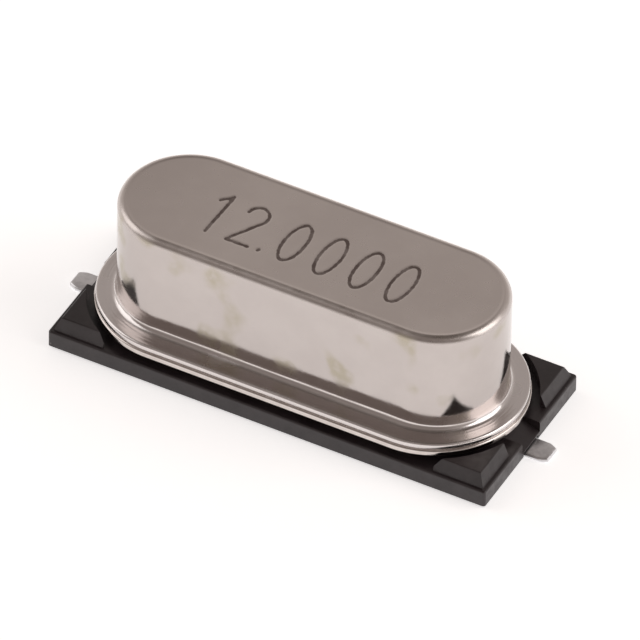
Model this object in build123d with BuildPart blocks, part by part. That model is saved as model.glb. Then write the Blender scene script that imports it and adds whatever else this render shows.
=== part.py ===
from build123d import *
import math
import os

os.makedirs("parts", exist_ok=True)

# Surface-mount quartz crystal resonator: a resistance-welded metal can on a
# stamped header, carried by a moulded insulator with four corner posts. Two
# leads pass through glass seals, turn outwards under the insulator and end in
# flattened tips. Inside, a quartz strip stands on edge in two slotted clips.
#
# Frame: origin at the centre of the footprint on the plane of the lead
# undersides (the board), +X along the length, +Z up, millimetres.

# ---------------------------------------------------------------- dimensions
# insulator
base_length = 11.40
base_width = 4.60
base_corner_r = 0.07
base_bottom_z = 0.06          # leads stand this much proud of the underside
base_top_z = 0.50             # floor between the corner posts
base_edge_r = 0.05            # softened upper outer edge
seat_top_z = 0.72             # raised pad the header rests on
seat_inset = 0.34             # pad edge inside the header flange edge
ledge = 0.10                  # slab edge to the foot of a post
post_top_z = 0.83
post_draft_deg = 23.0
post_arc_r = 2.42             # concave face round the header flange
post_arc_x = 3.20             # centre of that arc
post_gap_x = 4.30             # posts start this far from the middle along X
post_gap_y = 0.92             # and this far from the middle along Y
post_edge_r = 0.03
chute_width = 0.87            # ramped notch over each lead
chute_start_x = 5.02
chute_end_z = 0.22
pin_hole_r = 0.29
groove_width = 0.72
groove_deep_z = 0.47          # groove ceiling over the round wire
groove_flat_z = 0.17          # groove ceiling over the flattened wire

# header
header_flange_length = 10.86
header_flange_width = 4.50
header_flange_t = 0.17
header_edge_r = 0.05
plateau_length = 8.80
plateau_width = 2.46
plateau_top_z = 1.55
plateau_edge_r = 0.15
recess_length = 8.20
recess_width = 1.90
recess_top_z = 1.00
seal_r = 0.65

# can
can_length = 9.83
can_width = 3.38
can_top_z = 3.84
can_wall = 0.18
can_top_r = 0.20              # outside radius round the top
can_inner_r = 0.10            # inside radius under the top
can_flange_length = 10.80
can_flange_width = 4.44
can_flange_t = 0.18
can_flange_edge_r = 0.07
can_root_r = 0.16             # outside radius from wall to flange

# leads
pin_pitch = 4.88
wire_r = 0.215
wire_bend_r = 0.34            # centreline radius of the turn under the base
flat_width = 0.64
flat_t = 0.13
flat_start_x = 3.75
tip_x = 6.25                  # half of the length over the tips
tip_cut_x = 0.24
tip_cut_y = 0.09
nail_r = 0.38
nail_t = 0.12
nail_bottom_z = 1.66

# slotted clips
clip_t = 0.08
clip_foot_width = 0.80
clip_foot_back = 0.40         # foot behind the pin axis
clip_riser_x = 3.77           # inner face of the upright
clip_riser_width = 1.00
clip_top_z = 3.42
clip_slit_half = 0.09

# quartz strip and its metal film
blank_length = 8.00
blank_height = 1.55
blank_t = 0.14
blank_bottom_z = 2.00
film_t = 0.02
pad_length = 3.60
pad_height = 1.16
tab_height = 0.50
tab_end_x = 3.70
glue_r = 0.28

half_pitch = pin_pitch / 2
header_bottom_z = seat_top_z
can_bottom_z = header_bottom_z + header_flange_t
blank_mid_z = blank_bottom_z + blank_height / 2
BIG = 20.0


# ---------------------------------------------------------------- insulator
with BuildPart() as insulator:
    # slab
    with BuildSketch(Plane.XY.offset(base_bottom_z)):
        RectangleRounded(base_length, base_width, base_corner_r)
    extrude(amount=base_top_z - base_bottom_z)
    fillet(insulator.faces().sort_by(Axis.Z)[-1].edges(), base_edge_r)

    # drafted block that the corner posts are left from
    post_foot_l = base_length - 2 * ledge
    post_foot_w = base_width - 2 * ledge
    post_h = post_top_z - base_top_z
    inset = post_h * math.tan(math.radians(post_draft_deg))
    with BuildSketch(Plane.XY.offset(base_top_z)):
        Rectangle(post_foot_l, post_foot_w)
    with BuildSketch(Plane.XY.offset(post_top_z)):
        Rectangle(post_foot_l - 2 * inset, post_foot_w - 2 * inset)
    loft()
    # clear the arc round the header flange and the gaps along both sides
    with BuildSketch(Plane.XY.offset(base_top_z)):
        SlotCenterToCenter(2 * post_arc_x, 2 * post_arc_r)
        Rectangle(2 * post_gap_x, BIG)
        Rectangle(BIG, 2 * post_gap_y)
    extrude(amount=BIG, mode=Mode.SUBTRACT)
    fillet(insulator.edges().filter_by_position(Axis.Z, post_top_z - 0.001, post_top_z + 0.001)
           .filter_by(GeomType.LINE), post_edge_r)

    # pad under the header
    with BuildSketch(Plane.XY.offset(base_top_z)):
        SlotOverall(header_flange_length - 2 * seat_inset,
                    header_flange_width - 2 * seat_inset)
    extrude(amount=seat_top_z - base_top_z)

    # pin holes
    with BuildSketch(Plane.XY.offset(base_bottom_z)):
        with Locations((half_pitch, 0), (-half_pitch, 0)):
            Circle(pin_hole_r)
    extrude(amount=seat_top_z - base_bottom_z, mode=Mode.SUBTRACT)

    # grooves for the leads in the underside
    with BuildSketch(Plane.XZ.offset(-groove_width / 2)):
        with BuildLine():
            Polyline((half_pitch - pin_hole_r, base_bottom_z - 0.1),
                     (half_pitch - pin_hole_r, groove_deep_z),
                     (half_pitch + 0.45, groove_deep_z),
                     (flat_start_x + 0.05, groove_flat_z),
                     (base_length / 2 + 0.2, groove_flat_z),
                     (base_length / 2 + 0.2, base_bottom_z - 0.1),
                     close=True)
        make_face()
        mirror(about=Plane.YZ)
    extrude(amount=groove_width, mode=Mode.SUBTRACT)

    # ramped notches in the end walls over the leads
    with BuildSketch(Plane.XZ.offset(-chute_width / 2)):
        with BuildLine():
            Polyline((chute_start_x, base_top_z),
                     (base_length / 2, chute_end_z),
                     (base_length / 2 + 0.2, chute_end_z),
                     (base_length / 2 + 0.2, base_top_z + 0.3),
                     (chute_start_x, base_top_z + 0.3),
                     close=True)
        make_face()
        mirror(about=Plane.YZ)
    extrude(amount=chute_width, mode=Mode.SUBTRACT)

insulator.part.label = "insulator"
export_step(insulator.part, "parts/insulator.step")


# ---------------------------------------------------------------- header
with BuildPart() as header:
    with BuildSketch(Plane.XY.offset(header_bottom_z)):
        SlotOverall(header_flange_length, header_flange_width)
    extrude(amount=header_flange_t)
    fillet(header.faces().sort_by(Axis.Z)[-1].edges(), header_edge_r)
    fillet(header.faces().sort_by(Axis.Z)[0].edges(), header_edge_r)
    with BuildSketch(Plane.XY.offset(header_bottom_z + 0.05)):
        SlotOverall(plateau_length, plateau_width)
    extrude(amount=plateau_top_z - header_bottom_z - 0.05)
    fillet(header.faces().sort_by(Axis.Z)[-1].edges(), plateau_edge_r)
    with BuildSketch(Plane.XY.offset(header_bottom_z)):
        SlotOverall(recess_length, recess_width)
    extrude(amount=recess_top_z - header_bottom_z, mode=Mode.SUBTRACT)
    with BuildSketch(Plane.XY.offset(recess_top_z)):
        with Locations((half_pitch, 0), (-half_pitch, 0)):
            Circle(seal_r)
    extrude(amount=BIG, mode=Mode.SUBTRACT)

header.part.label = "header"
export_step(header.part, "parts/header.step")


# ---------------------------------------------------------------- can
with BuildPart() as can:
    with BuildSketch(Plane.XY.offset(can_bottom_z)):
        SlotOverall(can_flange_length, can_flange_width)
    extrude(amount=can_flange_t)
    fillet(can.faces().sort_by(Axis.Z)[-1].edges(), can_flange_edge_r)
    with BuildSketch(Plane.XY.offset(can_bottom_z)):
        SlotOverall(can_length, can_width)
    extrude(amount=can_top_z - can_bottom_z)
    fillet(can.faces().sort_by(Axis.Z)[-1].edges(), can_top_r)
    # radius between the wall and the flange
    root_z = can_bottom_z + can_flange_t
    root = [e for e in can.edges().filter_by_position(Axis.Z, root_z - 0.001, root_z + 0.001)
            if e.bounding_box().max.Y < can_width / 2 + 0.01
            and e.bounding_box().min.Y > -can_width / 2 - 0.01
            and e.bounding_box().max.X < can_length / 2 + 0.01
            and e.bounding_box().min.X > -can_length / 2 - 0.01]
    fillet(root, can_root_r)
    # hollow, with its own radius under the top
    with BuildSketch(Plane.XY.offset(can_bottom_z)):
        SlotOverall(can_length - 2 * can_wall, can_width - 2 * can_wall)
    extrude(amount=can_top_z - can_wall - can_bottom_z, mode=Mode.SUBTRACT)
    ceiling_z = can_top_z - can_wall
    ceiling = can.edges().filter_by_position(Axis.Z, ceiling_z - 0.001, ceiling_z + 0.001)
    fillet(ceiling, can_inner_r)

can.part.label = "can"
export_step(can.part, "parts/can.step")


# ---------------------------------------------------------------- glass seals
with BuildPart() as glass_seal_right:
    with BuildSketch(Plane.XY.offset(recess_top_z)):
        with Locations((half_pitch, 0)):
            Circle(seal_r)
            Circle(wire_r, mode=Mode.SUBTRACT)
    extrude(amount=plateau_top_z - recess_top_z)

glass_seal_right.part.label = "glass_seal_right"
export_step(glass_seal_right.part, "parts/glass_seal_right.step")

with BuildPart() as glass_seal_left:
    with BuildSketch(Plane.XY.offset(recess_top_z)):
        with Locations((-half_pitch, 0)):
            Circle(seal_r)
            Circle(wire_r, mode=Mode.SUBTRACT)
    extrude(amount=plateau_top_z - recess_top_z)

glass_seal_left.part.label = "glass_seal_left"
export_step(glass_seal_left.part, "parts/glass_seal_left.step")


# ---------------------------------------------------------------- leads
# Round pin with a nail head, turned outwards under the insulator, then
# flattened. The flat lies on the board plane.
turn_z = wire_r + wire_bend_r
turn_x = half_pitch + wire_bend_r

with BuildPart() as lead_right:
    # pin
    with BuildSketch(Plane.XY.offset(turn_z)):
        with Locations((half_pitch, 0)):
            Circle(wire_r)
    extrude(amount=nail_bottom_z + 0.02 - turn_z)
    # nail head
    with BuildSketch(Plane.XY.offset(nail_bottom_z)):
        with Locations((half_pitch, 0)):
            Circle(nail_r)
    extrude(amount=nail_t)
    # turn
    with BuildSketch(Plane.XY.offset(turn_z)):
        with Locations((half_pitch, 0)):
            Circle(wire_r)
    revolve(axis=Axis((turn_x, 0, turn_z), (0, 1, 0)), revolution_arc=-90)
    # round to flat
    with BuildSketch(Plane(origin=(turn_x, 0, wire_r), x_dir=(0, 1, 0), z_dir=(1, 0, 0))):
        SlotOverall(2 * wire_r + 0.002, 2 * wire_r)
    with BuildSketch(Plane(origin=(flat_start_x, 0, flat_t / 2), x_dir=(0, 1, 0), z_dir=(1, 0, 0))):
        SlotOverall(flat_width, flat_t)
    loft()
    # flattened run and tip
    with BuildSketch(Plane(origin=(flat_start_x, 0, flat_t / 2), x_dir=(0, 1, 0), z_dir=(1, 0, 0))):
        SlotOverall(flat_width, flat_t)
    extrude(amount=tip_x - flat_start_x)
    with BuildSketch(Plane.XY.offset(-0.1)):
        with BuildLine():
            Polyline((tip_x + 0.01, flat_width / 2 - tip_cut_y),
                     (tip_x - tip_cut_x, flat_width / 2 + 0.001),
                     (tip_x - tip_cut_x, flat_width),
                     (tip_x + 0.01, flat_width),
                     close=True)
        make_face()
        mirror(about=Plane.XZ)
    extrude(amount=1.0, mode=Mode.SUBTRACT)

lead_right.part.label = "lead_right"
export_step(lead_right.part, "parts/lead_right.step")

with BuildPart() as lead_left:
    add(lead_right.part.mirror(Plane.YZ))

lead_left.part.label = "lead_left"
export_step(lead_left.part, "parts/lead_left.step")


# ---------------------------------------------------------------- clips
clip_foot_z = nail_bottom_z + nail_t

with BuildPart() as clip_right:
    # foot welded to the nail head
    with BuildSketch(Plane.XY.offset(clip_foot_z)):
        with Locations(((half_pitch - clip_foot_back + clip_riser_x + clip_t) / 2, 0)):
            Rectangle(clip_riser_x + clip_t - half_pitch + clip_foot_back, clip_foot_width)
    extrude(amount=clip_t)
    # upright with a slit for the strip
    with BuildSketch(Plane(origin=(clip_riser_x, 0, 0), x_dir=(0, 1, 0), z_dir=(1, 0, 0))):
        with Locations((0, (clip_foot_z + clip_top_z) / 2)):
            Rectangle(clip_riser_width, clip_top_z - clip_foot_z)
        with Locations((0, (blank_bottom_z + clip_top_z + 0.2) / 2)):
            Rectangle(2 * clip_slit_half, clip_top_z + 0.2 - blank_bottom_z, mode=Mode.SUBTRACT)
    extrude(amount=clip_t)

clip_right.part.label = "clip_right"
export_step(clip_right.part, "parts/clip_right.step")

with BuildPart() as clip_left:
    add(clip_right.part.mirror(Plane.YZ))

clip_left.part.label = "clip_left"
export_step(clip_left.part, "parts/clip_left.step")


# ---------------------------------------------------------------- quartz strip
with BuildPart() as quartz_blank:
    with BuildSketch(Plane.XY.offset(blank_bottom_z)):
        Rectangle(blank_length, blank_t)
    extrude(amount=blank_height)
    fillet(quartz_blank.edges().filter_by(Axis.Y), 0.12)

quartz_blank.part.label = "quartz_blank"
export_step(quartz_blank.part, "parts/quartz_blank.step")


# ---------------------------------------------------------------- electrodes
# One silver film on each face: a pad in the middle and a tab to one end.
with BuildPart() as electrode_front:
    with BuildSketch(Plane.XZ.offset(blank_t / 2)):
        with Locations((0, blank_mid_z)):
            Rectangle(pad_length, pad_height)
        with Locations((tab_end_x / 2, blank_mid_z)):
            Rectangle(tab_end_x, tab_height)
    extrude(amount=film_t)

electrode_front.part.label = "electrode_front"
export_step(electrode_front.part, "parts/electrode_front.step")

with BuildPart() as electrode_back:
    with BuildSketch(Plane.XZ.offset(-blank_t / 2)):
        with Locations((0, blank_mid_z)):
            Rectangle(pad_length, pad_height)
        with Locations((-tab_end_x / 2, blank_mid_z)):
            Rectangle(tab_end_x, tab_height)
    extrude(amount=-film_t)

electrode_back.part.label = "electrode_back"
export_step(electrode_back.part, "parts/electrode_back.step")


# ---------------------------------------------------------------- conductive adhesive
# A fillet of silver-filled adhesive in the corner between the strip and the
# inner face of each upright, one bead on each face of the strip.
with BuildPart() as adhesive_right:
    with Locations((clip_riser_x, 0, blank_mid_z)):
        Sphere(glue_r)
    with Locations((clip_riser_x + glue_r, 0, blank_mid_z)):
        Box(2 * glue_r, 4 * glue_r, 4 * glue_r, mode=Mode.SUBTRACT)
    with Locations((clip_riser_x, 0, blank_mid_z)):
        Box(4 * glue_r, blank_t, 4 * glue_r, mode=Mode.SUBTRACT)
    add(electrode_front.part, mode=Mode.SUBTRACT)

adhesive_right.part.label = "adhesive_right"
export_step(adhesive_right.part, "parts/adhesive_right.step")

with BuildPart() as adhesive_left:
    with Locations((-clip_riser_x, 0, blank_mid_z)):
        Sphere(glue_r)
    with Locations((-clip_riser_x - glue_r, 0, blank_mid_z)):
        Box(2 * glue_r, 4 * glue_r, 4 * glue_r, mode=Mode.SUBTRACT)
    with Locations((-clip_riser_x, 0, blank_mid_z)):
        Box(4 * glue_r, blank_t, 4 * glue_r, mode=Mode.SUBTRACT)
    add(electrode_back.part, mode=Mode.SUBTRACT)

adhesive_left.part.label = "adhesive_left"
export_step(adhesive_left.part, "parts/adhesive_left.step")
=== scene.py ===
import math

import bmesh
import bpy
import numpy as np
from mathutils import Matrix, Vector


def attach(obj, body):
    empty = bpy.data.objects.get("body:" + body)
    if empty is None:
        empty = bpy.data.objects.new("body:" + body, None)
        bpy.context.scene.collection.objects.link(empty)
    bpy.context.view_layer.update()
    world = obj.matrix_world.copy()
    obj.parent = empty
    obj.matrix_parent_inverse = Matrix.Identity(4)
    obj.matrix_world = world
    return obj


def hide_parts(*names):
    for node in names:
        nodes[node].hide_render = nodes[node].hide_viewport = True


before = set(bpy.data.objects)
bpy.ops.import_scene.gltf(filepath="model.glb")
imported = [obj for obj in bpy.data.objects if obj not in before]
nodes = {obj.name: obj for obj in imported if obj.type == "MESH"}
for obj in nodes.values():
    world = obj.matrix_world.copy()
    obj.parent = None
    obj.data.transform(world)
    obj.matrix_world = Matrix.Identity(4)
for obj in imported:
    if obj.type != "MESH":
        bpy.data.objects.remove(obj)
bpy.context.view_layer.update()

MM = 0.001

# ------------------------------------------------------------------ sizes, mm
CAN_TOP_Z = 3.84
CAN_BOTTOM_Z = 0.89
CAN_R, CAN_A = 1.69, 3.225            # end radius and half of the straight
FL_R, FL_A = 2.22, 3.18
HD_R, HD_A = 2.25, 3.18
HD_BOTTOM_Z = 0.72
TOP_R = 0.20
INNER_R = 0.10
WALL = 0.18
ROOT_R = 0.16
FL_TOP_Z = 1.07


# ------------------------------------------------------------------ mesh help
def ring(a, r, z, n_arc, n_str):
    """Points of a stadium: end radius r, half straight a, at height z."""
    pts = []
    for i in range(n_arc):
        t = -math.pi / 2 + math.pi * i / n_arc
        pts.append((a + r * math.cos(t), r * math.sin(t), z))
    for i in range(n_str):
        pts.append((a - 2 * a * i / n_str, r, z))
    for i in range(n_arc):
        t = math.pi / 2 + math.pi * i / n_arc
        pts.append((-a + r * math.cos(t), r * math.sin(t), z))
    for i in range(n_str):
        pts.append((-a + 2 * a * i / n_str, -r, z))
    return pts


def skin(name, profile, n_arc, n_str, marks=None):
    """Closed skin through stadium rings. profile is (a, r, z) from one axis end to the other."""
    n = 2 * n_arc + 2 * n_str
    co = np.array([p for a, r, z in profile for p in ring(a, r, z, n_arc, n_str)])
    faces = []
    for k in range(len(profile) - 1):
        b0, b1 = k * n, (k + 1) * n
        for i in range(n):
            j = (i + 1) % n
            faces.append((b0 + i, b0 + j, b1 + j, b1 + i))
    me = bpy.data.meshes.new(name)
    me.from_pydata([tuple(v * MM) for v in co], [], faces)
    bm = bmesh.new()
    bm.from_mesh(me)
    bmesh.ops.remove_doubles(bm, verts=bm.verts, dist=2e-8)
    bmesh.ops.dissolve_degenerate(bm, edges=bm.edges, dist=1e-9)
    bmesh.ops.recalc_face_normals(bm, faces=bm.faces)
    bm.to_mesh(me)
    bm.free()
    me.shade_smooth()
    ob = bpy.data.objects.new(name, me)
    bpy.context.scene.collection.objects.link(ob)
    return ob


def arc(cr, cz, rad, t0, t1, n, a):
    """Profile points on an arc in the (r, z) plane, angles in degrees, t0 left out."""
    out = []
    for i in range(1, n + 1):
        t = math.radians(t0 + (t1 - t0) * i / n)
        out.append((a, cr + rad * math.cos(t), cz + rad * math.sin(t)))
    return out


def lerp(p, q, n):
    """n profile points from p to q, p left out."""
    return [tuple(p[k] + (q[k] - p[k]) * i / n for k in range(3)) for i in range(1, n + 1)]


# ------------------------------------------------------------------ numerals
def arc_pts(cx, cy, rx, ry, t0, t1, n=18):
    return [(cx + rx * math.cos(math.radians(t0 + (t1 - t0) * i / n)),
             cy + ry * math.sin(math.radians(t0 + (t1 - t0) * i / n))) for i in range(n + 1)]


# single-stroke figures in a box 0.56 wide and 1.33 high, origin at the middle of the foot
GLYPH = {
    "1": [[(0.0, 0.0), (0.03, 1.33)], [(0.03, 1.33), (-0.20, 1.10)]],
    "2": [arc_pts(0.0, 1.03, 0.26, 0.30, 170, -35) + [(-0.27, 0.0)], [(-0.27, 0.0), (0.29, 0.0)]],
    "0": [arc_pts(0.0, 0.665, 0.255, 0.665, 0, 360, 40)],
    ".": [[(0.0, 0.02), (0.015, 0.05)]],
}
TEXT = [("1", -2.44), ("2", -1.62), (".", -1.06), ("0", -0.44), ("0", 0.50), ("0", 1.44), ("0", 2.38)]
SEGS = []
for ch, x0 in TEXT:
    for line in GLYPH[ch]:
        for p, q in zip(line[:-1], line[1:]):
            y0 = -0.775 - 0.020 * (x0 + 2.3)
            SEGS.append((p[0] + x0 + 0.02 * p[1], p[1] + y0, q[0] + x0 + 0.02 * q[1], q[1] + y0))
SEGS = np.array(SEGS)


def stroke_distance(x, y):
    """Distance in mm from points to the nearest stroke centre line."""
    d = np.full(x.shape, 9.0)
    for x1, y1, x2, y2 in SEGS:
        dx, dy = x2 - x1, y2 - y1
        t = np.clip(((x - x1) * dx + (y - y1) * dy) / max(dx * dx + dy * dy, 1e-9), 0, 1)
        d = np.minimum(d, np.hypot(x - x1 - t * dx, y - y1 - t * dy))
    return d


# ------------------------------------------------------------------ can
def build_can():
    prof = [(CAN_A, 0.0, CAN_TOP_Z)]
    r = 0.0
    while r < 0.93:
        r += 0.025
        prof.append((CAN_A, r, CAN_TOP_Z))
    prof += lerp(prof[-1], (CAN_A, CAN_R - TOP_R, CAN_TOP_Z), 8)
    # top radius, then the straight wall down to the root
    prof += arc(CAN_R - TOP_R, CAN_TOP_Z - TOP_R, TOP_R, 90, 0, 18, CAN_A)
    wall_end = (CAN_A, CAN_R, FL_TOP_Z + ROOT_R)
    prof += lerp(prof[-1], wall_end, 12)
    # root radius, then the flange with a shallow ring pressed into it
    root = []
    for i in range(1, 11):
        t = math.radians(180 + 90 * i / 10)
        f = i / 10
        root.append((CAN_A + (FL_A - CAN_A) * f * 0.4,
                     CAN_R + ROOT_R + ROOT_R * math.cos(t) + 0.018 * f,
                     FL_TOP_Z + ROOT_R + ROOT_R * math.sin(t)))
    prof += root
    a0, r0, z0 = prof[-1]
    for dr, dz in ((0.030, 0.0000), (0.050, -0.0006), (0.062, -0.0040), (0.075, -0.0046), (0.090, -0.0036),
                   (0.115, -0.0030), (0.150, -0.0032), (0.165, -0.0044), (0.180, -0.0032), (0.215, -0.0024), (0.235, -0.0024)):
        prof.append((a0 + (FL_A - a0) * min(1, dr / 0.2), r0 + dr, FL_TOP_Z + dz))
    er = 0.07
    prof += [(FL_A, FL_R - er, FL_TOP_Z - 0.003)]
    prof += arc(FL_R - er, FL_TOP_Z - 0.003 - er, er, 90, 0, 8, FL_A)
    prof += [(FL_A, FL_R, CAN_BOTTOM_Z + 0.02), (FL_A, FL_R - 0.02, CAN_BOTTOM_Z)]
    # underside and hollow
    prof += [(CAN_A, CAN_R - WALL + 0.02, CAN_BOTTOM_Z), (CAN_A, CAN_R - WALL, CAN_BOTTOM_Z + 0.02)]
    ir = INNER_R
    prof += lerp(prof[-1], (CAN_A, CAN_R - WALL, CAN_TOP_Z - WALL - ir), 3)
    prof += arc(CAN_R - WALL - ir, CAN_TOP_Z - WALL - ir, ir, 0, 90, 5, CAN_A)
    prof += lerp(prof[-1], (CAN_A, 0.0, CAN_TOP_Z - WALL), 3)
    ob = skin("can_shell", prof, 56, 250)
    me = ob.data
    n = len(me.vertices)
    co = np.empty(n * 3)
    me.vertices.foreach_get("co", co)
    co = co.reshape(-1, 3) / MM
    top = co[:, 2] > CAN_TOP_Z - 0.0005
    near = top & (np.abs(co[:, 1]) < 1.0)
    d = np.full(n, 9.0)
    idx = np.where(near)[0]
    wob = 0.012 * np.sin(co[idx, 0] * 23.0) + 0.008 * np.sin(co[idx, 1] * 31.0 + 1.3)
    d[idx] = stroke_distance(co[idx, 0], co[idx, 1])
    half = 0.040 * (1 + wob * 9)
    m = np.clip((half + 0.028 - d[idx]) / 0.050, 0, 1)
    m = m * m * (3 - 2 * m)
    depth = np.zeros(n)
    depth[idx] = 0.012 * m
    rim = np.exp(-((d[idx] - 0.085) / 0.022) ** 2) * 0.0
    depth[idx] -= rim
    mark = np.zeros(n)
    mark[idx] = m
    # the drawn top is very slightly dished and uneven
    x, y, z = co.T
    body = z > 1.2
    bulge = 0.004 * np.sin(x * 0.9 + 0.4) * np.cos(y * 1.3) + 0.003 * np.sin(x * 2.3 + y * 1.1)
    lift = np.where(top, -0.008 + 0.5 * bulge * np.clip(1.3 - np.abs(y), 0, 1), 0.0)
    co[:, 2] += lift - depth
    # long walls a few microns out of flat, as a drawn cup is
    side = body & (np.abs(y) > 1.2) & (np.abs(x) < CAN_A + 0.3) & (z < CAN_TOP_Z - TOP_R)
    fade = np.clip((z - 1.25) / 0.4, 0, 1) * np.clip((CAN_TOP_Z - TOP_R - z) / 0.4, 0, 1)
    inward = 0.006 * (0.5 + 0.5 * np.sin(x * 1.7 + 0.8)) * fade
    co[:, 1] -= np.where(side, np.sign(y) * inward * np.clip((CAN_A + 0.3 - np.abs(x)) / 0.8, 0, 1), 0.0)
    me.vertices.foreach_set("co", (co * MM).ravel())
    at = me.attributes.new("mark", "FLOAT", "POINT")
    at.data.foreach_set("value", mark)
    me.update()
    return ob


# ------------------------------------------------------------------ header
def build_header():
    er = 0.05
    ht = CAN_BOTTOM_Z
    pr, pa = 1.23, 3.17
    prof = [(pa, 0.0, 1.55)]
    prof += lerp(prof[0], (pa, pr - 0.15, 1.55), 3)
    prof += arc(pr - 0.15, 1.40, 0.15, 90, 0, 5, pa)
    prof += [(pa, pr, ht + 0.02), (pa, pr + 0.02, ht)]
    prof += lerp(prof[-1], (HD_A, HD_R - er, ht), 3)
    prof += arc(HD_R - er, ht - er, er, 90, 0, 7, HD_A)
    prof += lerp(prof[-1], (HD_A, HD_R, HD_BOTTOM_Z + er), 2)
    prof += arc(HD_R - er, HD_BOTTOM_Z + er, er, 0, -90, 7, HD_A)
    prof += lerp(prof[-1], (3.15, 0.95, HD_BOTTOM_Z), 3)
    prof += [(3.15, 0.95, 1.00), (3.15, 0.0, 1.00)]
    ob = skin("header_shell", prof, 64, 40)
    # seal holes through the plateau
    for sx in (-1, 1):
        bm = bmesh.new()
        bmesh.ops.create_cone(bm, cap_ends=True, segments=64, radius1=0.65 * MM, radius2=0.65 * MM, depth=1.4 * MM,
                              matrix=Matrix.Translation((sx * 2.44 * MM, 0, 1.5 * MM)))
        cm = bpy.data.meshes.new("cut")
        bm.to_mesh(cm)
        bm.free()
        co = bpy.data.objects.new("cut", cm)
        bpy.context.scene.collection.objects.link(co)
        mod = ob.modifiers.new("hole", "BOOLEAN")
        mod.operation = "DIFFERENCE"
        mod.solver = "EXACT"
        mod.object = co
        dg = bpy.context.evaluated_depsgraph_get()
        new = bpy.data.meshes.new_from_object(ob.evaluated_get(dg))
        ob.modifiers.clear()
        ob.data = new
        bpy.data.objects.remove(co)
    for p in ob.data.polygons:
        p.use_smooth = True
    ob.data.set_sharp_from_angle(angle=math.radians(40))
    return ob


# ------------------------------------------------------------------ leads
def build_lead(name, sx):
    """Pin, turn and flattened tip as one skin of sections along the wire."""
    M = 40
    wr, br = 0.215, 0.34
    px = 2.44

    def section(hw, ht, k):
        """Outline with half width hw, half thickness ht; k is 0 for round and 1 for a flat with round sides."""
        out = []
        for i in range(M):
            t = 2 * math.pi * i / M
            c, s = math.cos(t), math.sin(t)
            rx, ry = hw * c, ht * s
            cr = ht
            fx = math.copysign(max(hw - cr, 0), c) + cr * c
            out.append(((1 - k) * rx + k * (fx if abs(c) > 0.12 else (hw - cr) * c / 0.12 + cr * c), (1 - k) * ry + k * cr * s))
        return out

    rings = []

    def put(cx, cz, ux, uz, sec):
        # section x runs along Y, section y along (ux, uz) in the XZ plane
        rings.append([(sx * (cx + b * ux), a, cz + b * uz) for a, b in sec])

    # nail head and pin, section y along +X
    for z, r in ((1.78, 0.0), (1.78, 0.34), (1.76, 0.38), (1.68, 0.38), (1.66, 0.35), (1.66, 0.24), (1.62, wr)):
        put(px, z, 1, 0, section(r, r, 0))
    for z in np.linspace(1.5, wr + br, 6):
        put(px, z, 1, 0, section(wr, wr, 0))
    # turn outwards
    for i in range(1, 13):
        t = math.radians(90 * i / 12)
        cx = px + br - br * math.cos(t)
        cz = wr + br - br * math.sin(t)
        put(cx, cz, math.cos(t), math.sin(t), section(wr, wr, 0))
    # coined run
    for i in range(1, 17):
        f = i / 16
        s = f * f * (3 - 2 * f)
        x = px + br + (3.75 - px - br) * f
        hw = wr + (0.32 - wr) * s
        ht = wr + (0.065 - wr) * s
        put(x, ht, 0, 1, section(hw, ht, s))
    for x in np.linspace(3.9, 6.0, 12):
        put(x, 0.065, 0, 1, section(0.32, 0.065, 1))
    for x, hw, ht in ((6.06, 0.315, 0.065), (6.14, 0.285, 0.064), (6.21, 0.25, 0.061), (6.238, 0.235, 0.056),
                      (6.25, 0.222, 0.044), (6.25, 0.10, 0.02), (6.25, 0.0, 0.0)):
        put(x, 0.065, 0, 1, section(hw, ht, 1 if ht > 0.03 else 0))
    co = [p for rg in rings for p in rg]
    faces = []
    for k in range(len(rings) - 1):
        for i in range(M):
            j = (i + 1) % M
            f = (k * M + i, k * M + j, (k + 1) * M + j, (k + 1) * M + i)
            faces.append(f)
    me = bpy.data.meshes.new(name)
    me.from_pydata([(x * MM, y * MM, z * MM) for x, y, z in co], [], faces)
    bm = bmesh.new()
    bm.from_mesh(me)
    bmesh.ops.remove_doubles(bm, verts=bm.verts, dist=2e-8)
    bmesh.ops.dissolve_degenerate(bm, edges=bm.edges, dist=1e-9)
    bmesh.ops.recalc_face_normals(bm, faces=bm.faces)
    bm.to_mesh(me)
    bm.free()
    me.shade_smooth()
    me.set_sharp_from_angle(angle=math.radians(50))
    ob = bpy.data.objects.new(name, me)
    bpy.context.scene.collection.objects.link(ob)
    return ob


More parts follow.
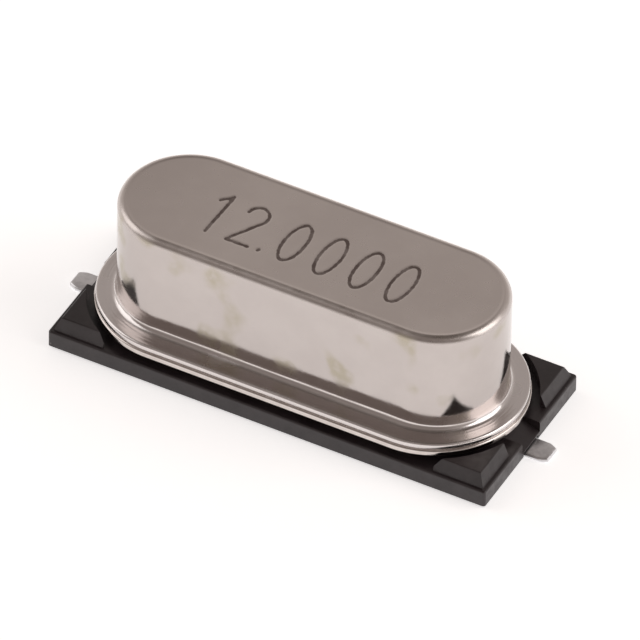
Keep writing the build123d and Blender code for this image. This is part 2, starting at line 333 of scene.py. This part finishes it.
# ------------------------------------------------------------------ materials
class Mat:
    """Small builder for node materials."""

    def __init__(self, name):
        self.m = bpy.data.materials.new(name)
        self.m.use_nodes = True
        self.nt = self.m.node_tree
        self.nt.nodes.clear()
        self.out = self.nt.nodes.new("ShaderNodeOutputMaterial")
        self.b = self.nt.nodes.new("ShaderNodeBsdfPrincipled")
        self.nt.links.new(self.b.outputs[0], self.out.inputs[0])
        tc = self.nt.nodes.new("ShaderNodeTexCoord")
        mp = self.nt.nodes.new("ShaderNodeMapping")
        mp.inputs["Scale"].default_value = (1000, 1000, 1000)
        self.nt.links.new(tc.outputs["Object"], mp.inputs[0])
        self.co = mp.outputs[0]          # object position in mm
        self.tc = tc

    def node(self, kind, **kw):
        n = self.nt.nodes.new(kind)
        for k, v in kw.items():
            if hasattr(n, k):
                setattr(n, k, v)
            else:
                n.inputs[k.replace("_", " ")].default_value = v
        return n

    def link(self, a, b):
        self.nt.links.new(a, b)

    def scaled(self, s):
        n = self.node("ShaderNodeMapping")
        n.inputs["Scale"].default_value = s
        self.link(self.co, n.inputs[0])
        return n.outputs[0]

    def noise(self, scale, detail=4.0, rough=0.55, vec=None, dist=0.0):
        n = self.node("ShaderNodeTexNoise")
        n.inputs["Scale"].default_value = scale
        n.inputs["Detail"].default_value = detail
        n.inputs["Roughness"].default_value = rough
        n.inputs["Distortion"].default_value = dist
        self.link(vec if vec is not None else self.co, n.inputs["Vector"])
        return n.outputs["Fac"]

    def math(self, op, a, b=None, c=None, clamp=False):
        n = self.node("ShaderNodeMath", operation=op)
        n.use_clamp = clamp
        for i, v in enumerate((a, b, c)):
            if v is None:
                continue
            if isinstance(v, (int, float)):
                n.inputs[i].default_value = v
            else:
                self.link(v, n.inputs[i])
        return n.outputs[0]

    def remap(self, v, lo, hi, a=0.0, b=1.0, smooth=True):
        n = self.node("ShaderNodeMapRange")
        n.interpolation_type = "SMOOTHSTEP" if smooth else "LINEAR"
        self.link(v, n.inputs[0])
        for i, x in enumerate((lo, hi, a, b)):
            n.inputs[i + 1].default_value = x
        return n.outputs[0]

    def mix(self, f, c1, c2):
        n = self.node("ShaderNodeMix", data_type="RGBA")
        for i, v in ((0, f), (6, c1), (7, c2)):
            if isinstance(v, (int, float)):
                n.inputs[i].default_value = v
            elif isinstance(v, tuple):
                n.inputs[i].default_value = (*v, 1.0)
            else:
                self.link(v, n.inputs[i])
        return n.outputs[2]

    def sep(self, v=None):
        n = self.node("ShaderNodeSeparateXYZ")
        self.link(v if v is not None else self.co, n.inputs[0])
        return n.outputs

    def bump(self, h, strength, dist_mm, normal=None):
        n = self.node("ShaderNodeBump")
        n.inputs["Strength"].default_value = strength
        n.inputs["Distance"].default_value = dist_mm * MM
        self.link(h, n.inputs["Height"])
        if normal is not None:
            self.link(normal, n.inputs["Normal"])
        return n.outputs[0]


def nickel_can():
    k = Mat("nickel_can")
    x, y, z = k.sep()
    top = k.remap(z, CAN_TOP_Z - 0.10, CAN_TOP_Z - 0.015)
    over = k.remap(z, CAN_TOP_Z - 0.21, CAN_TOP_Z - 0.13)
    flange = k.remap(z, 1.30, 1.12)
    # colour: warm nickel, with faint blotches and a few yellowish stains on the wall
    blotch = k.noise(0.8, 5, 0.6)
    base = k.mix(k.remap(blotch, 0.35, 0.68), (0.541, 0.493, 0.472), (0.566, 0.518, 0.496))
    fine = k.noise(5.5, 3, 0.5)
    stain = k.math("MULTIPLY", k.remap(k.noise(1.05, 1.5, 0.4), 0.56, 0.72), k.remap(fine, 0.22, 0.60, 0.35, 1.0))
    stain = k.math("MULTIPLY", stain, k.remap(top, 1.0, 0.0))
    base = k.mix(k.math("MULTIPLY", stain, 0.75), base, (0.44, 0.395, 0.30))
    tone = k.mix(k.remap(k.noise(0.45, 3, 0.5), 0.35, 0.65), (0.660, 0.600, 0.572), (0.705, 0.645, 0.615))
    # painted shade: the top's colour is darkened towards the -X end, standing in for the dimmer reflection there
    tone = k.mix(k.remap(x, -2.0, -4.6, 0.0, 0.45), tone, (0.535, 0.480, 0.457))
    base = k.mix(top, base, tone)
    base = k.mix(flange, base, (0.72, 0.675, 0.662))
    # engraved strokes are burnt darker, with a ragged edge
    at = k.node("ShaderNodeAttribute", attribute_name="mark")
    rag = k.math("ADD", at.outputs["Fac"], k.math("MULTIPLY", k.math("SUBTRACT", k.noise(13, 4, 0.65), 0.5), 1.1))
    mk = k.math("MULTIPLY", k.remap(rag, 0.22, 0.85), k.remap(at.outputs["Fac"], 0.02, 0.40))
    mk = k.math("MULTIPLY", mk, k.remap(k.noise(2.6, 3, 0.6), 0.30, 0.62, 0.74, 1.0))
    base = k.mix(k.math("MULTIPLY", mk, 0.92), base, (0.135, 0.100, 0.090))
    k.link(base, k.b.inputs["Base Color"])
    k.b.inputs["Metallic"].default_value = 1.0
    # roughness: bright drawn wall, satin top
    rw = k.remap(k.noise(2.0, 4, 0.6), 0.3, 0.7, 0.07, 0.13)
    rt = k.remap(k.noise(3.0, 4, 0.6), 0.3, 0.7, 0.27, 0.36)
    satin = k.node("ShaderNodeMix", data_type="FLOAT")
    k.link(k.remap(z, FL_TOP_Z + 0.06, FL_TOP_Z + 0.01), satin.inputs[0])
    k.link(rw, satin.inputs[2])
    satin.inputs[3].default_value = 0.24
    rw = satin.outputs[0]
    rough = k.node("ShaderNodeMix", data_type="FLOAT")
    k.link(over, rough.inputs[0])
    k.link(rw, rough.inputs[2])
    k.link(rt, rough.inputs[3])
    r2 = k.math("ADD", rough.outputs[0], k.math("MULTIPLY", mk, 0.25))
    r2 = k.math("ADD", r2, k.math("MULTIPLY", stain, 0.12))
    k.link(r2, k.b.inputs["Roughness"])
    # fine grain on the top, soft waves on the wall, drawing lines round the flange
    ax = k.math("MAXIMUM", k.math("SUBTRACT", k.math("ABSOLUTE", x), FL_A), 0.0)
    rr = k.math("SQRT", k.math("ADD", k.math("MULTIPLY", ax, ax), k.math("MULTIPLY", y, y)))
    cv = k.node("ShaderNodeCombineXYZ")
    k.link(k.math("MULTIPLY", rr, 15.0), cv.inputs[0])
    k.link(k.math("MULTIPLY", z, 11.0), cv.inputs[1])
    k.link(k.math("MULTIPLY", x, 0.30), cv.inputs[2])
    lines = k.math("MULTIPLY", k.noise(1.0, 3, 0.6, vec=cv.outputs[0]), k.remap(z, 1.42, 1.18))
    grain = k.noise(42, 3, 0.6)
    n1 = k.bump(grain, 0.16, 0.004)
    wave = k.noise(1.3, 2, 0.5, vec=k.scaled((1.0, 1.0, 0.45)))
    n2 = k.bump(wave, 0.35, 0.02, n1)
    n3 = k.bump(lines, 0.55, 0.010, n2)
    k.link(n3, k.b.inputs["Normal"])
    return k.m


def nickel_header():
    k = Mat("nickel_header")
    n = k.noise(2.2, 4, 0.6)
    base = k.mix(k.remap(n, 0.35, 0.65), (0.62, 0.565, 0.535), (0.69, 0.635, 0.605))
    k.link(base, k.b.inputs["Base Color"])
    k.b.inputs["Metallic"].default_value = 1.0
    k.link(k.remap(k.noise(3.5, 4, 0.6), 0.3, 0.7, 0.10, 0.22), k.b.inputs["Roughness"])
    k.link(k.bump(k.noise(14, 3, 0.6), 0.2, 0.004), k.b.inputs["Normal"])
    return k.m


def tinned():
    k = Mat("tinned_lead")
    n = k.noise(4.5, 5, 0.6)
    base = k.mix(k.remap(n, 0.35, 0.65), (0.66, 0.655, 0.67), (0.80, 0.795, 0.81))
    k.link(base, k.b.inputs["Base Color"])
    k.b.inputs["Metallic"].default_value = 1.0
    k.link(k.remap(k.noise(6, 4, 0.6), 0.3, 0.7, 0.28, 0.42), k.b.inputs["Roughness"])
    h = k.noise(9, 4, 0.6, vec=k.scaled((0.35, 1.0, 1.0)))
    k.link(k.bump(h, 0.35, 0.012), k.b.inputs["Normal"])
    return k.m


def black_plastic():
    k = Mat("moulded_black")
    x, y, z = k.sep()
    n = k.noise(1.6, 5, 0.6)
    base = k.mix(k.remap(n, 0.35, 0.65), (0.0200, 0.0138, 0.0150), (0.0280, 0.0200, 0.0215))
    # rare pale specks of dust
    v = k.node("ShaderNodeTexVoronoi")
    v.inputs["Scale"].default_value = 2.6
    k.link(k.co, v.inputs["Vector"])
    speck = k.math("MULTIPLY", k.remap(v.outputs["Distance"], 0.055, 0.03),
                   k.remap(k.noise(1.1, 1, 0.5), 0.60, 0.63))
    base = k.mix(k.math("MULTIPLY", speck, 0.6), base, (0.32, 0.30, 0.29))
    k.link(base, k.b.inputs["Base Color"])
    k.b.inputs["Specular IOR Level"].default_value = 0.55
    k.link(k.remap(k.noise(5, 4, 0.6), 0.3, 0.7, 0.30, 0.46), k.b.inputs["Roughness"])
    g = k.noise(30, 4, 0.65)
    n1 = k.bump(g, 0.22, 0.006)
    n2 = k.bump(k.noise(3.2, 3, 0.5), 0.2, 0.015, n1)
    k.link(n2, k.b.inputs["Normal"])
    return k.m


def simple(name, c1, c2, metallic, r0, r1, scale=4.0, trans=0.0, ior=1.5, bump=0.15):
    k = Mat(name)
    base = k.mix(k.remap(k.noise(scale, 4, 0.6), 0.35, 0.65), c1, c2)
    k.link(base, k.b.inputs["Base Color"])
    k.b.inputs["Metallic"].default_value = metallic
    k.b.inputs["Transmission Weight"].default_value = trans
    k.b.inputs["IOR"].default_value = ior
    k.link(k.remap(k.noise(scale * 1.7, 4, 0.6), 0.3, 0.7, r0, r1), k.b.inputs["Roughness"])
    k.link(k.bump(k.noise(scale * 6, 3, 0.6), bump, 0.004), k.b.inputs["Normal"])
    return k.m


def give(ob, mat):
    if not ob.material_slots:
        ob.data.materials.append(mat)
    for s in ob.material_slots:
        s.material = mat


MAT_CAN = nickel_can()
MAT_HEADER = nickel_header()
MAT_LEAD = tinned()
MAT_BASE = black_plastic()
MAT_GLASS = simple("seal_glass", (0.020, 0.030, 0.034), (0.035, 0.050, 0.055), 0.0, 0.08, 0.2, ior=1.5)
MAT_CLIP = simple("clip_strip", (0.58, 0.56, 0.52), (0.68, 0.66, 0.62), 1.0, 0.18, 0.32)
MAT_QUARTZ = simple("quartz", (0.86, 0.90, 0.92), (0.93, 0.95, 0.96), 0.0, 0.05, 0.14, trans=0.85, ior=1.544)
MAT_SILVER = simple("silver_film", (0.86, 0.84, 0.80), (0.93, 0.91, 0.88), 1.0, 0.12, 0.22)
MAT_GLUE = simple("silver_resin", (0.42, 0.41, 0.39), (0.58, 0.57, 0.55), 0.55, 0.45, 0.65, scale=9.0, bump=0.4)

# ------------------------------------------------------------------ pieces
can = build_can()
give(can, MAT_CAN)
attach(can, "root")
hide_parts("can")

header = build_header()
give(header, MAT_HEADER)
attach(header, "root")
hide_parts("header")

for nm, s in (("right", 1), ("left", -1)):
    ld = build_lead("lead_wire_" + nm, s)
    give(ld, MAT_LEAD)
    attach(ld, "root")
    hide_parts("lead_" + nm)

for nm, mt in (("insulator", MAT_BASE), ("glass_seal_right", MAT_GLASS), ("glass_seal_left", MAT_GLASS),
               ("clip_right", MAT_CLIP), ("clip_left", MAT_CLIP), ("quartz_blank", MAT_QUARTZ),
               ("electrode_front", MAT_SILVER), ("electrode_back", MAT_SILVER),
               ("adhesive_right", MAT_GLUE), ("adhesive_left", MAT_GLUE)):
    give(nodes[nm], mt)

# ------------------------------------------------------------------ stage
fm = bpy.data.meshes.new("floor")
bm = bmesh.new()
bmesh.ops.create_grid(bm, x_segments=8, y_segments=8, size=0.9)
bm.to_mesh(fm)
bm.free()
floor = bpy.data.objects.new("floor", fm)
bpy.context.scene.collection.objects.link(floor)
floor.location.z = -1e-6
k = Mat("floor_pale")
k.link(k.mix(k.noise(0.02, 2, 0.5), (0.86, 0.855, 0.85), (0.88, 0.875, 0.87)), k.b.inputs["Base Color"])
k.b.inputs["Roughness"].default_value = 0.9
k.b.inputs["Specular IOR Level"].default_value = 0.0
k.b.inputs["Emission Color"].default_value = (1.0, 0.985, 0.985, 1)
k.b.inputs["Emission Strength"].default_value = 0.60
geo = k.node("ShaderNodeNewGeometry")
path = k.node("ShaderNodeLightPath")
clear = k.node("ShaderNodeBsdfTransparent")
swap = k.node("ShaderNodeMixShader")
k.link(k.math("MULTIPLY", geo.outputs["Backfacing"], path.outputs["Is Camera Ray"]), swap.inputs[0])
k.link(k.b.outputs[0], swap.inputs[1])
k.link(clear.outputs[0], swap.inputs[2])
k.link(swap.outputs[0], k.out.inputs[0])
give(floor, k.m)

# world: pale at the horizon, greyer higher up, darker towards the camera side
world = bpy.data.worlds.new("studio")
bpy.context.scene.world = world
world.use_nodes = True
nt = world.node_tree
nt.nodes.clear()
wo = nt.nodes.new("ShaderNodeOutputWorld")
bg = nt.nodes.new("ShaderNodeBackground")
nt.links.new(bg.outputs[0], wo.inputs[0])
tc = nt.nodes.new("ShaderNodeTexCoord")
sx = nt.nodes.new("ShaderNodeSeparateXYZ")
nt.links.new(tc.outputs["Generated"], sx.inputs[0])
ramp = nt.nodes.new("ShaderNodeValToRGB")
nt.links.new(sx.outputs["Z"], ramp.inputs[0])
cr = ramp.color_ramp
cr.elements[0].position = 0.0
cr.elements[0].color = (0.80, 0.76, 0.73, 1)
cr.elements[1].position = 1.0
cr.elements[1].color = (0.10, 0.085, 0.075, 1)
for pos, c in ((0.10, (0.72, 0.68, 0.65)), (0.30, (0.50, 0.455, 0.43)), (0.55, (0.46, 0.42, 0.395)),
               (0.78, (0.42, 0.38, 0.36)), (0.90, (0.16, 0.135, 0.12))):
    e = cr.elements.new(pos)
    e.color = (*c, 1)
# camera side factor
mapb = nt.nodes.new("ShaderNodeMapRange")
nt.links.new(sx.outputs["Y"], mapb.inputs[0])
mapb.inputs[1].default_value = -0.15
mapb.inputs[2].default_value = -0.65
mapb.inputs[3].default_value = 0.0
mapb.inputs[4].default_value = 0.95
up = nt.nodes.new("ShaderNodeMapRange")
nt.links.new(sx.outputs["Z"], up.inputs[0])
up.inputs[1].default_value = 0.10
up.inputs[2].default_value = 0.30
mul = nt.nodes.new("ShaderNodeMath")
mul.operation = "MULTIPLY"
nt.links.new(mapb.outputs[0], mul.inputs[0])
nt.links.new(up.outputs[0], mul.inputs[1])
mixw = nt.nodes.new("ShaderNodeMix")
mixw.data_type = "RGBA"
nt.links.new(mul.outputs[0], mixw.inputs[0])
nt.links.new(ramp.outputs[0], mixw.inputs[6])
mixw.inputs[7].default_value = (0.25, 0.215, 0.20, 1)
nt.links.new(mixw.outputs[2], bg.inputs["Color"])
bg.inputs["Strength"].default_value = 1.0


def area(name, loc, size, power, colour=(1, 1, 1), target=(0, 0, 0.002)):
    d = bpy.data.lights.new(name, "AREA")
    d.shape = "RECTANGLE"
    d.size, d.size_y = size
    d.energy = power
    d.color = colour
    o = bpy.data.objects.new(name, d)
    bpy.context.scene.collection.objects.link(o)
    o.location = loc
    o.rotation_mode = "QUATERNION"
    o.rotation_quaternion = (Vector(loc) - Vector(target)).to_track_quat("Z", "Y")
    return o


area("key_right", (0.34, 0.10, 0.22), (0.30, 0.34), 0.55, (1.0, 0.985, 0.97))
area("fill_left", (-0.34, -0.06, 0.24), (0.30, 0.34), 0.32, (1.0, 0.99, 0.985))

# ------------------------------------------------------------------ camera
AZ, EL, ROLL = 0.47674, 0.735995, 0.019381
DIST, TX, TY = 400.0, 0.18337, 1.078747
F_PX = math.exp(3.768652) * DIST
back = Vector((math.sin(AZ) * math.cos(EL), -math.cos(AZ) * math.cos(EL), math.sin(EL)))
right = Vector((math.cos(AZ), math.sin(AZ), 0))
upv = back.cross(right)
r2 = right * math.cos(ROLL) + upv * math.sin(ROLL)
u2 = upv * math.cos(ROLL) - right * math.sin(ROLL)
cd = bpy.data.cameras.new("camera")
cam = bpy.data.objects.new("camera", cd)
bpy.context.scene.collection.objects.link(cam)
pos = (back * DIST + r2 * TX + u2 * TY + Vector((0, 0, 0.06))) * MM
cam.matrix_world = Matrix(((r2.x, u2.x, back.x, pos.x), (r2.y, u2.y, back.y, pos.y),
                           (r2.z, u2.z, back.z, pos.z), (0, 0, 0, 1)))
cd.sensor_width = 36.0
cd.lens = F_PX * 36.0 / 640.0
cd.clip_start = 0.01
cd.clip_end = 5.0
cd.dof.use_dof = False
bpy.context.scene.camera = cam
bpy.context.scene.view_settings.view_transform = "Standard"
